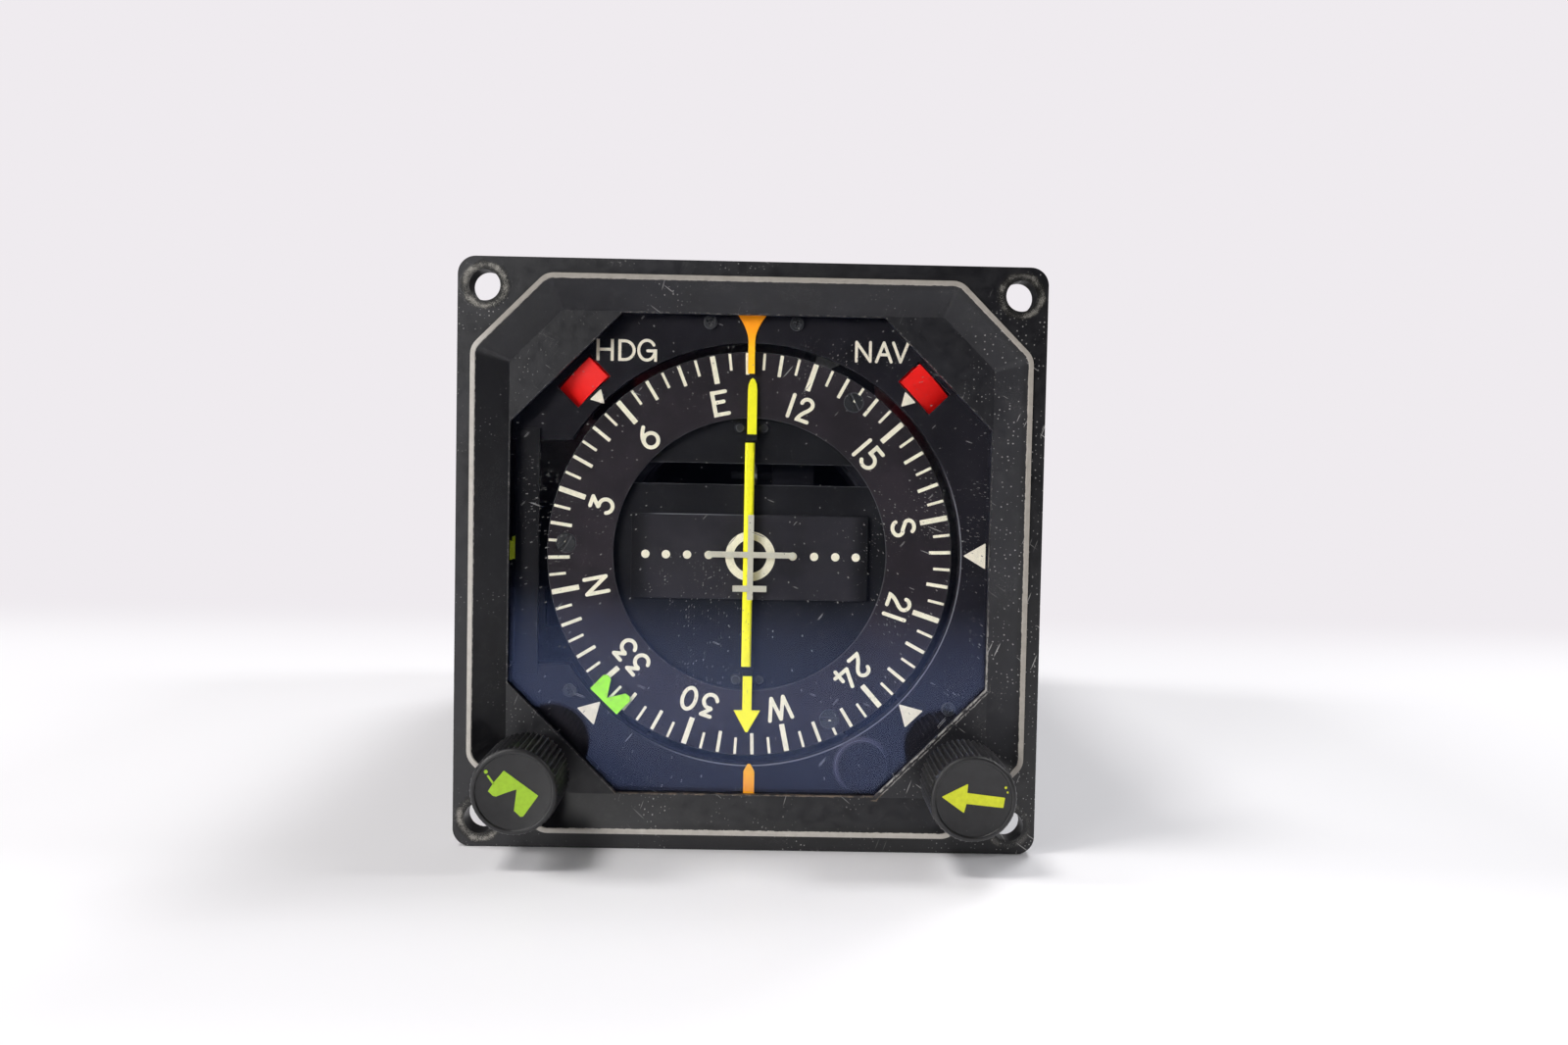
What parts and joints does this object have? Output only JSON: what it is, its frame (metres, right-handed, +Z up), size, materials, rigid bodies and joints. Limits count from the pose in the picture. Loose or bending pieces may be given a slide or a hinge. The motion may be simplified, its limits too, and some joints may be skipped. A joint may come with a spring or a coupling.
{
  "type": "horizontal situation indicator",
  "caption": "Square panel gyro-compass and course indicator: turning card, heading bug, course pointer, deviation bar, warning flags and two setting knobs on a deep closed case.",
  "frame": {"origin": "centre of the back face of the bezel flange, amid the four mounting holes", "axes": "+Y into the instrument, away from the viewer; -Y out of the front; +Z up; +X to the right as seen from in front"},
  "size_m": [0.1048, 0.223, 0.1054],
  "materials": {
    "black_enamel": "worn satin black over alloy",
    "coated_glass": "flat glass with a bluish coating",
    "black_rubber": "matte",
    "matte_black": "matte black",
    "black_screw": "satin black",
    "orange_paint": "matte fluorescent orange",
    "machined_alloy": "machined",
    "steel": "turned",
    "case_paint": "satin black",
    "connector_alloy": "dull plated",
    "bushing_alloy": "turned, dark",
    "motor_can": "satin",
    "insulator": "moulded",
    "circuit_board": "varnished",
    "card_black": "matte black",
    "brass": "cut",
    "copper_winding": "wound and varnished",
    "green_paint": "matte fluorescent green",
    "yellow_paint": "matte yellow",
    "white_paint": "matte white",
    "red_paint": "matte fluorescent red",
    "knob_black": "moulded, worn"
  },
  "bodies": {
    "housing": {"bezel": "black_enamel", "window_glass": "coated_glass", "window_gasket": "black_rubber", "mask": "matte_black", "mask_screws": "black_screw", "glideslope_scale": "matte_black", "upper_lubber": "orange_paint", "lower_lubber": "orange_paint", "front_frame": "machined_alloy", "mid_frame": "machined_alloy", "rear_frame": "machined_alloy", "frame_posts": "steel", "case": "case_paint", "rear_plate": "case_paint", "case_screws": "steel", "rear_connectors": "connector_alloy", "shaft_bushings": "bushing_alloy", "frame_bearings": "steel", "azimuth_motor": "motor_can", "synchro_stator": "motor_can", "course_resolver": "motor_can", "glideslope_meter": "motor_can", "flag_meters": "motor_can", "brush_block": "insulator", "circuit_boards": "circuit_board"},
    "card": {"azimuth_card": "card_black", "card_screws": "black_screw", "card_drum": "machined_alloy", "card_gear": "brass", "synchro_rotor": "copper_winding", "course_bearing": "steel"},
    "bug": {"heading_bug": "green_paint", "bug_gear": "brass"},
    "course_rotor": {"course_disc": "card_black", "deviation_scale": "card_black", "course_pointer": "yellow_paint", "pointer_screws": "black_screw", "course_drum": "machined_alloy", "course_shaft": "steel", "course_gear": "brass", "slip_rings": "brass", "deviation_meter": "motor_can", "to_from_meter": "motor_can"},
    "deviation": {"deviation_bar": "yellow_paint"},
    "to_from": {"to_from_vane": "white_paint"},
    "glideslope": {"glideslope_pointer": "yellow_paint"},
    "heading_warning": {"heading_flag": "red_paint"},
    "nav_warning": {"nav_flag": "red_paint"},
    "heading_select": {"heading_knob": "knob_black", "heading_knob_shaft": "steel"},
    "course_select": {"course_knob": "knob_black", "course_knob_shaft": "steel"},
    "motor": {"motor_pinion": "brass"},
    "heading_input": {"heading_input_gear": "brass"},
    "heading_output": {"heading_output_gear": "brass"},
    "heading_cage": {"heading_differential": "brass"},
    "course_input": {"course_input_gear": "brass"},
    "course_output": {"course_output_gear": "brass"},
    "course_cage": {"course_differential": "brass"},
    "resolver": {"resolver_gear": "brass"}
  },
  "joints": [
    {"name": "card_turn", "type": "hinge", "parent": "housing", "child": "card", "pos_m": [0, 0.012, 0], "axis": [0, 1, 0], "continuous": true},
    {"name": "bug_turn", "type": "hinge", "parent": "card", "child": "bug", "pos_m": [0, 0.01, 0], "axis": [0, 1, 0], "continuous": true},
    {"name": "course_turn", "type": "hinge", "parent": "card", "child": "course_rotor", "pos_m": [0, 0.044, 0], "axis": [0, 1, 0], "continuous": true},
    {"name": "deviation_slide", "type": "slide", "parent": "course_rotor", "child": "deviation", "axis": [1, 0, 0], "range_m": [-0.019, 0.019], "stiffness_N_per_m": 10},
    {"name": "to_from_tilt", "type": "hinge", "parent": "course_rotor", "child": "to_from", "pos_m": [0, 0.021, 0.0146], "axis": [1, 0, 0], "range_deg": [-25, 25], "stiffness_Nm_per_rad": 0.001},
    {"name": "glideslope_slide", "type": "slide", "parent": "housing", "child": "glideslope", "axis": [0, 0, 1], "range_m": [-0.018, 0.018], "stiffness_N_per_m": 10},
    {"name": "heading_flag_turn", "type": "hinge", "parent": "housing", "child": "heading_warning", "pos_m": [-0.02823, 0.0154, 0.03405], "axis": [0.7071, 0, -0.7071], "range_deg": [0, 50], "stiffness_Nm_per_rad": 0.0002, "springref_deg": -28.65},
    {"name": "nav_flag_turn", "type": "hinge", "parent": "housing", "child": "nav_warning", "pos_m": [0.02887, 0.0154, 0.03405], "axis": [0.7071, 0, 0.7071], "range_deg": [0, 50], "stiffness_Nm_per_rad": 0.0002, "springref_deg": -28.65},
    {"name": "heading_knob_turn", "type": "hinge", "parent": "housing", "child": "heading_select", "pos_m": [-0.0389, 0, -0.0391], "axis": [0, 1, 0], "continuous": true},
    {"name": "course_knob_turn", "type": "hinge", "parent": "housing", "child": "course_select", "pos_m": [0.0389, 0, -0.0391], "axis": [0, 1, 0], "continuous": true},
    {"name": "motor_turn", "type": "hinge", "parent": "housing", "child": "motor", "pos_m": [0.0205, 0.012, 0.03551], "axis": [0, 1, 0], "continuous": true},
    {"name": "heading_input_turn", "type": "hinge", "parent": "housing", "child": "heading_input", "pos_m": [-0.02739, 0.016, -0.0357], "axis": [0, 1, 0], "continuous": true},
    {"name": "heading_output_turn", "type": "hinge", "parent": "heading_input", "child": "heading_output", "pos_m": [-0.02739, 0.014, -0.0357], "axis": [0, 1, 0], "continuous": true},
    {"name": "heading_cage_turn", "type": "hinge", "parent": "housing", "child": "heading_cage", "pos_m": [-0.02739, 0.04, -0.0357], "axis": [0, 1, 0], "continuous": true},
    {"name": "course_input_turn", "type": "hinge", "parent": "housing", "child": "course_input", "pos_m": [0.02739, 0.008, -0.0357], "axis": [0, 1, 0], "continuous": true},
    {"name": "course_output_turn", "type": "hinge", "parent": "course_input", "child": "course_output", "pos_m": [0.02739, 0.018, -0.0357], "axis": [0, 1, 0], "continuous": true},
    {"name": "course_cage_turn", "type": "hinge", "parent": "housing", "child": "course_cage", "pos_m": [0.02739, 0.028, -0.0357], "axis": [0, 1, 0], "continuous": true},
    {"name": "resolver_turn", "type": "hinge", "parent": "housing", "child": "resolver", "pos_m": [0.02951, 0.064, -0.02144], "axis": [0, 1, 0], "continuous": true}
  ],
  "couplings": [
    {"joint": "bug_turn", "follows": "heading_knob_turn", "ratio": 0.25},
    {"joint": "course_turn", "follows": "course_knob_turn", "ratio": 0.25},
    {"joint": "motor_turn", "follows": "card_turn", "ratio": -7.2},
    {"joint": "heading_input_turn", "follows": "card_turn", "ratio": -4},
    {"joint": "course_input_turn", "follows": "card_turn", "ratio": -4},
    {"joint": "heading_output_turn", "follows": "heading_knob_turn", "ratio": -1},
    {"joint": "course_output_turn", "follows": "course_knob_turn", "ratio": -1},
    {"joint": "heading_cage_turn", "follows": "heading_knob_turn", "ratio": -0.5},
    {"joint": "course_cage_turn", "follows": "course_knob_turn", "ratio": -0.5},
    {"joint": "resolver_turn", "follows": "course_knob_turn", "ratio": -0.25}
  ]
}
